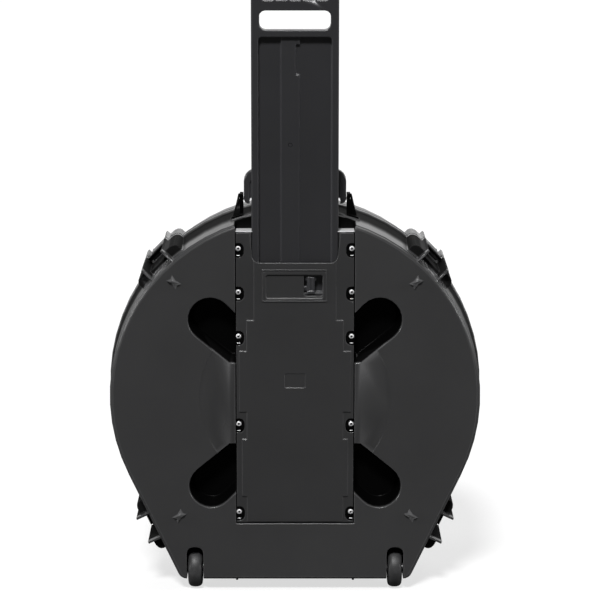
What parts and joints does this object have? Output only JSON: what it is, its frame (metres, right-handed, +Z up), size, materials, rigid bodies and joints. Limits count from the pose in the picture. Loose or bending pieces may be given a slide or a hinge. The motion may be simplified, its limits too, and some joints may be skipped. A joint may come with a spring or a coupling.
{
  "type": "wheeled cymbal case",
  "caption": "Upright round hard case on wheels that carries cymbals on a centre post, with a wide pull-out handle, edge latches and a folding carry handle.",
  "frame": {"origin": "on the floor under the middle of the case standing upright, midway between its back studs and its front face", "axes": "+Z up, +Y out of the front (lid) face, -Y out of the back with the pull handle, +X to the right when looking at the back"},
  "size_m": [0.7024, 0.265, 1.132],
  "materials": {
    "shell": "fine leather-grain moulded polyethylene, black",
    "cover": "smooth moulded plastic, black",
    "handle": "fine-textured moulded plastic, near black",
    "steel": "bright zinc plate",
    "dark_steel": "black coated steel",
    "tyre": "black polyurethane, satin",
    "hub": "dark grey nylon",
    "rubber": "matt black rubber",
    "foam": "charcoal open-cell foam",
    "felt": "grey wool felt"
  },
  "bodies": {
    "back_case": {"back_shell": "shell", "rim_seal": "rubber", "handle_cover": "cover", "cover_screw_01": "steel", "cover_screw_02": "steel", "cover_screw_03": "steel", "cover_screw_04": "steel", "cover_screw_05": "steel", "cover_screw_06": "steel", "cover_screw_07": "steel", "cover_screw_08": "steel", "cover_screw_09": "steel", "cover_screw_10": "steel", "handle_guide_left": "cover", "handle_guide_right": "cover", "wheel_axle_left": "steel", "wheel_axle_right": "steel", "latch_keeper_upper_left": "dark_steel", "latch_keeper_upper_right": "dark_steel", "latch_keeper_lower_left": "dark_steel", "latch_keeper_lower_right": "dark_steel", "carry_bracket_left": "cover", "carry_bracket_right": "cover", "carry_pin_left": "steel", "carry_pin_right": "steel", "hinge_leaf_back": "dark_steel", "hinge_pin": "steel", "back_liner": "foam", "centre_post": "steel", "felt_washer_lower": "felt", "felt_washer_upper": "felt"},
    "lid": {"front_shell": "shell", "lid_liner": "foam", "hinge_leaf_lid": "dark_steel", "front_foot_left": "rubber", "front_foot_right": "rubber", "latch_base_upper_left": "dark_steel", "latch_base_upper_right": "dark_steel", "latch_base_lower_left": "dark_steel", "latch_base_lower_right": "dark_steel", "latch_pin_upper_left": "steel", "latch_pin_upper_right": "steel", "latch_pin_lower_left": "steel", "latch_pin_lower_right": "steel"},
    "pull_handle": {"pull_handle": "handle"},
    "catch": {"handle_catch": "handle"},
    "wheel_left": {"wheel_tyre_left": "tyre", "wheel_hub_left": "hub", "wheel_bearing_left_inner": "steel", "wheel_bearing_left_outer": "steel"},
    "wheel_right": {"wheel_tyre_right": "tyre", "wheel_hub_right": "hub", "wheel_bearing_right_inner": "steel", "wheel_bearing_right_outer": "steel"},
    "latch_upper_left": {"latch_lever_upper_left": "shell"},
    "latch_upper_right": {"latch_lever_upper_right": "shell"},
    "latch_lower_left": {"latch_lever_lower_left": "shell"},
    "latch_lower_right": {"latch_lever_lower_right": "shell"},
    "carry_handle": {"carry_handle": "handle"},
    "wing_nut": {"wing_nut": "steel"}
  },
  "joints": [
    {"name": "handle_slide", "type": "slide", "parent": "back_case", "child": "pull_handle", "axis": [0, 0, 1], "range_m": [-0.413, 0]},
    {"name": "lid_hinge", "type": "hinge", "parent": "back_case", "child": "lid", "pos_m": [0, 0.0225, 0.008], "axis": [-1, 0, 0], "range_deg": [0, 100]},
    {"name": "carry_handle_fold", "type": "hinge", "parent": "back_case", "child": "carry_handle", "pos_m": [0, -0.0525, 0.735], "axis": [-1, 0, 0], "range_deg": [0, 85]},
    {"name": "catch_flex", "type": "hinge", "parent": "back_case", "child": "catch", "pos_m": [0.029, -0.1205, 0.603], "axis": [0, -1, 0], "range_deg": [0, 4], "stiffness_Nm_per_rad": 1},
    {"name": "wheel_left_spin", "type": "hinge", "parent": "back_case", "child": "wheel_left", "pos_m": [-0.1874, -0.0935, 0.038], "axis": [1, 0, 0], "continuous": true},
    {"name": "wheel_right_spin", "type": "hinge", "parent": "back_case", "child": "wheel_right", "pos_m": [0.1874, -0.0935, 0.038], "axis": [1, 0, 0], "continuous": true},
    {"name": "latch_upper_left_lift", "type": "hinge", "parent": "lid", "child": "latch_upper_left", "pos_m": [-0.2565, 0.0725, 0.62318], "axis": [-0.6997, 0, -0.7145], "range_deg": [0, 105]},
    {"name": "latch_upper_right_lift", "type": "hinge", "parent": "lid", "child": "latch_upper_right", "pos_m": [0.2565, 0.0725, 0.62318], "axis": [-0.6997, 0, 0.7145], "range_deg": [0, 105]},
    {"name": "latch_lower_left_lift", "type": "hinge", "parent": "lid", "child": "latch_lower_left", "pos_m": [-0.2774, 0.0725, 0.11879], "axis": [0.4274, 0, -0.9041], "range_deg": [0, 105]},
    {"name": "latch_lower_right_lift", "type": "hinge", "parent": "lid", "child": "latch_lower_right", "pos_m": [0.2774, 0.0725, 0.11879], "axis": [0.4274, 0, 0.9041], "range_deg": [0, 105]},
    {"name": "wing_nut_spin", "type": "hinge", "parent": "back_case", "child": "wing_nut", "pos_m": [0, -0.0553, 0.372], "axis": [0, 1, 0], "continuous": true}
  ]
}
